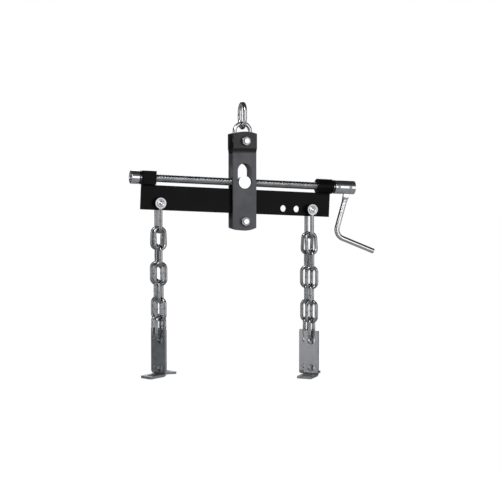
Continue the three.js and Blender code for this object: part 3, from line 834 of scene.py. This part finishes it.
def bent_shackle():
    """The rod from eye to eye in the YZ plane, with the pin at the origin."""
    half = shackle_spread / 2
    straight = shackle_reach - shackle_corner
    shape = bmesh.new()
    start = Matrix.Translation((0, -half, 0)) @ Matrix.Rotation(pi / shackle_sides, 4, "Z")
    edges = rod_end(shape, shackle_rod, start, shackle_sides, closed=True)
    edges = pulled(shape, edges, (0, 0, -straight))[0]
    edges = swept(shape, edges, (0, shackle_corner - half, -straight), (1, 0, 0), pi / 2, corner_turns)
    edges = pulled(shape, edges, (0, shackle_spread - 2 * shackle_corner, 0))[0]
    edges = swept(shape, edges, (0, half - shackle_corner, -straight), (1, 0, 0), pi / 2, corner_turns)
    edges = pulled(shape, edges, (0, 0, straight))[0]
    bmesh.ops.contextual_create(shape, geom=edges)
    bmesh.ops.recalc_face_normals(shape, faces=shape.faces)
    return shape


# %% Shackles, pins and nuts
head_shares = ((1, 0), (0.97, 0.17), (0.88, 0.33), (0.74, 0.47), (0.36, 0.56), (0.3, 0.62), (0.42, 0.68),
               (0.66, 0.74), (0.72, 0.82), (0.66, 0.9), (0.4, 0.97), (0, 1))
pin_chamfer = 1 * mm
for side in ("left", "right"):
    place = Matrix.Translation(joint_into[f"{side}_clevis"]["pos_m"])
    low, high = extent(f"{side}_shackle", place)
    eye = high.x - low.x
    inner = (shackle_spread - shackle_rod) / 2
    shackle = boolean(bent_shackle(), "UNION",
                      round_bar("Y", eye, inner, high.y), round_bar("Y", eye, low.y, -inner))
    shackle = drilled(shackle, round_bar("Y", pin_bore, 2 * low.y, 2 * high.y))
    add_piece(f"{side}_shackle", shackle, place, edge=1.2 * mm, finish=grey_zinc)
    pin_low, pin_high = extent(f"{side}_shackle_pin", place)
    nut_low, nut_high = extent(f"{side}_shackle_nut", place)
    head_radius = (pin_high.x - pin_low.x) / 2
    shank_radius = pin_bore / 2 - fit
    head_foot = low.y - fit
    rise = head_foot - pin_low.y
    pin = turned([*[(head_foot - rise * up, head_radius * out) for up, out in head_shares],
                  (head_foot, shank_radius), (pin_high.y - pin_chamfer, shank_radius),
                  (pin_high.y, shank_radius - pin_chamfer), (pin_high.y, 0)], large_sides)
    add_piece(f"{side}_shackle_pin", pin, place, edge=0.25 * mm)
    nut = drilled(hexagon(nut_high.x - nut_low.x, nut_low.y, nut_high.y),
                  round_bar("Y", pin_bore, 0, 2 * pin_high.y, hole_sides))
    add_piece(f"{side}_shackle_nut", nut, place, edge=0.8 * mm)
    print(side, "shackle at:", [round(v, 4) for v in place.translation], "eye in mm:", round(eye / mm, 1))

# %% [markdown]
# ## Brackets
# A bracket is a strip of flat steel, drilled and then bent over a die. It is made in that order here: the
# flat strip is drilled, cut across in the bend zone, and rolled so that its middle layer keeps its length.

# %% Drill and bend a bracket
bracket_width, bracket_thickness, bracket_height = 32 * mm, 5 * mm, 95 * mm
bend_middle, flange_length, flange_droop = 6 * mm, 42 * mm, radians(3)
chain_hole, chain_hole_inset, bolt_hole = 16 * mm, 21 * mm, 15 * mm
plate_hole_rise, flange_hole_inset = 17 * mm, 15 * mm
corner_radius, corner_steps, bend_cuts = 2 * mm, 5, 12


def bracket():
    """A bracket with its chain hole at the origin and its flange towards -Y."""
    half = bracket_thickness / 2
    foot = chain_hole_inset - bracket_height
    bend_start = foot + half + bend_middle
    bend_angle = pi / 2 - flange_droop
    bend_end = bend_start - bend_middle * bend_angle
    tip = bend_end - (flange_length - half - bend_middle)
    side = bracket_width / 2 - corner_radius
    top, bottom = chain_hole_inset - corner_radius, tip + corner_radius
    outline = []
    for x, z, start in ((side, top, 0), (-side, top, 90), (-side, bottom, 180), (side, bottom, 270)):
        outline += arc(x, z, corner_radius, start, start + 90, corner_steps)
    holes = ((chain_hole, 0), (bolt_hole, foot + plate_hole_rise), (bolt_hole, tip + flange_hole_inset))
    strip = drilled(sheet(outline, bracket_thickness),
                    *[moved(round_bar("Y", diameter, -bracket_width, bracket_width, hole_sides), z=level)
                      for diameter, level in holes])
    cut_across(strip, bend_start, bend_end, bend_cuts)
    for vert in strip.verts:
        run = bend_start - vert.co.z
        if run > 0:
            angle = min(run / bend_middle, bend_angle)
            beyond = max(run - bend_middle * bend_angle, 0)
            layer = bend_middle + vert.co.y
            vert.co.z = bend_start - layer * sin(angle) - beyond * cos(angle)
            vert.co.y = -bend_middle + layer * cos(angle) - beyond * sin(angle)
    return strip


# %% Hang the four brackets
for side in ("left", "right"):
    for place_name, facing in (("front", -1), ("back", 1)):
        node = f"{side}_{place_name}_bracket"
        hinge = joint_into[f"{side}_{place_name}_mount"]
        turn = atan2(hinge["axis"][1], hinge["axis"][0]) + facing * pi / 2
        low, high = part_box(node)
        top = Vector((hinge["pos_m"][0], hinge["pos_m"][1], high[2] - chain_hole_inset))
        add_piece(node, bracket(), Matrix.Translation(top) @ Matrix.Rotation(turn, 4, "Z"), edge=0.7 * mm)
        print(node, "turned by", round(turn * 180 / pi, 1), "degrees")

# %% [markdown]
# ## Studio
# The photograph is a cut-out on white. The world is white to the camera, and steel reflects it as a
# product studio looks from inside: a white backdrop behind the object, dark cards to its sides and a dim
# room behind the camera. Dark, light and dark again across a rod is what tells bright metal from grey
# paint, so the white that steel sees is kept to one side.

# %% Helpers for a shader's numbers
def mapped(tree, value, start, end, low, high):
    """A value carried from one range to another."""
    node = tree.nodes.new("ShaderNodeMapRange")
    for name, number in (("From Min", start), ("From Max", end), ("To Min", low), ("To Max", high)):
        node.inputs[name].default_value = number
    tree.links.new(value, node.inputs["Value"])
    return node.outputs["Result"]


def combined(tree, operation, first, second):
    """Two values joined by the given operation."""
    node = tree.nodes.new("ShaderNodeMath")
    node.operation = operation
    tree.links.new(first, node.inputs[0])
    tree.links.new(second, node.inputs[1])
    return node.outputs["Value"]


def mixed(tree, factor, otherwise, chosen):
    """One of two values, as the factor picks; each is a socket or a number."""
    node = tree.nodes.new("ShaderNodeMix")
    tree.links.new(factor, node.inputs["Factor"])
    for name, value in (("A", otherwise), ("B", chosen)):
        if isinstance(value, (int, float)):
            node.inputs[name].default_value = value
        else:
            tree.links.new(value, node.inputs[name])
    return node.outputs["Result"]


def rays_seen(tree):
    """Whether a ray sees the background, straight or through glass, and whether it is a reflection."""
    rays = tree.nodes.new("ShaderNodeLightPath").outputs
    seen = combined(tree, "MAXIMUM", rays["Is Camera Ray"], rays["Is Transmission Ray"])
    return seen, rays["Is Glossy Ray"]


# %% White surroundings with a dim room for steel to reflect
backdrop_way, lens_way = Vector((0.32, 0.95, 0)), Vector((-0.32, -0.95, 0))
shade_strength, white_strength = 0.55, 1.0
world = bpy.data.worlds.new("studio")
scene.world = world
world.use_nodes = True
studio = world.node_tree
surroundings = studio.nodes["Background"]
surroundings.inputs["Color"].default_value = (1, 1, 1, 1)
direction = studio.nodes.new("ShaderNodeTexCoord")


def towards(way):
    """How nearly a ray points a level way, as the cosine of the angle between them."""
    node = studio.nodes.new("ShaderNodeVectorMath")
    node.operation = "DOT_PRODUCT"
    node.inputs[1].default_value = way.normalized()
    studio.links.new(direction.outputs["Generated"], node.inputs[0])
    return node.outputs["Value"]


backdrop = mapped(studio, towards(backdrop_way), start=0.86, end=0.95, low=0.04, high=1.0)
dim_room = mapped(studio, towards(lens_way), start=0.4, end=1.0, low=0.0, high=0.3)
seen, reflected = rays_seen(studio)
lit = mixed(studio, reflected, shade_strength, combined(studio, "ADD", backdrop, dim_room))
studio.links.new(mixed(studio, seen, lit, white_strength), surroundings.inputs["Strength"])
print("world strength:", white_strength, "to the camera,", shade_strength, "to matt surfaces")

# %% [markdown]
# A plain pale floor lies well below the leveler. It glows white to the camera, as the photograph's
# background does, with a tenth left matt so that a shadow can still fall on it. What steel reflects of it
# is mostly the matt part, because a white floor would wash out the dark rims of the links.

# %% Floor
floor_drop, floor_size, floor_grey = 0.25, 30, 0.3
floor_glow, glow_seen, glow_reflected = 1.1, 0.9, 0.05
low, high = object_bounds()
floor_shape = bmesh.new()
bmesh.ops.create_grid(floor_shape, x_segments=1, y_segments=1, size=floor_size,
                      matrix=Matrix.Translation((0, 0, low[2] - floor_drop)))
floor_mesh = bpy.data.meshes.new("floor")
floor_shape.to_mesh(floor_mesh)
floor_shape.free()
floor = bpy.data.objects.new("floor", floor_mesh)
scene.collection.objects.link(floor)
pale = bpy.data.materials.new("pale floor")
pale.use_nodes = True
tree = pale.node_tree
matt = tree.nodes["Principled BSDF"]
matt.inputs["Base Color"].default_value = (floor_grey, floor_grey, floor_grey, 1)
matt.inputs["Roughness"].default_value = 0.9
glow = tree.nodes.new("ShaderNodeEmission")
glow.inputs["Strength"].default_value = floor_glow
seen, reflected = rays_seen(tree)
white_seen = mapped(tree, seen, start=0, end=1, low=0, high=glow_seen)
white_share = mixed(tree, reflected, white_seen, glow_reflected)
pick = tree.nodes.new("ShaderNodeMixShader")
tree.links.new(white_share, pick.inputs["Fac"])
tree.links.new(matt.outputs["BSDF"], pick.inputs[1])
tree.links.new(glow.outputs["Emission"], pick.inputs[2])
tree.links.new(pick.outputs["Shader"], tree.nodes["Material Output"].inputs["Surface"])
floor_mesh.materials.append(pale)
print("floor at:", round(low[2] - floor_drop, 3))

# %% [markdown]
# Soft boxes give the long highlights, and each stands where one of the photograph's stripes comes from.
# A lamp with an area is sampled directly, so it leaves little noise on polished steel, and it is no wider
# than the stripe that it makes.


# %% Soft lamps
def add_lamp(name, place, target, width, height, power):
    """A soft box at a place, turned towards a target."""
    light = bpy.data.lights.new(name, "AREA")
    light.shape = "RECTANGLE"
    light.size, light.size_y = width, height
    light.energy = power
    lamp = bpy.data.objects.new(name, light)
    lamp.location = place
    lamp.rotation_euler = (Vector(target) - Vector(place)).to_track_quat("-Z", "Y").to_euler()
    scene.collection.objects.link(lamp)
    print(name, "in watts:", power)


centre = (0, 0, (low[2] + high[2]) / 2)
add_lamp("key", (-1.3, -1.6, 1.0), centre, width=0.9, height=0.9, power=18)
add_lamp("front softbox", (0.83, -2.35, -0.2), centre, width=1.5, height=1.5, power=10)
add_lamp("left strip", (-2.2, -0.72, -0.4), centre, width=0.5, height=1.2, power=5)
add_lamp("right strip", (2.0, -0.8, -0.2), centre, width=0.4, height=1.4, power=3)
add_lamp("rear", (0.4, 1.8, 1.0), centre, width=1.4, height=0.8, power=7)

# %% [markdown]
# ## Camera
# The camera stands where the photographer stood: to the left of the front, level with the screw, and far
# enough away that the beam hardly narrows. Its place was fitted to corners measured in the photograph.

# %% Camera at the photograph's angle
camera_spot = (-0.8469, -2.5307, -0.1767)
camera_turn, camera_nod = radians(18.84), radians(-2.58)
lens = bpy.data.cameras.new("camera")
lens.sensor_width, lens.lens = 36, 93.3
camera = bpy.data.objects.new("camera", lens)
camera.location = camera_spot
camera.rotation_euler = (pi / 2 + camera_nod, 0, -camera_turn)
scene.collection.objects.link(camera)
scene.camera = camera
scene.view_settings.view_transform = "Standard"
print("camera in metres from the hook:", round(camera.location.length, 2))
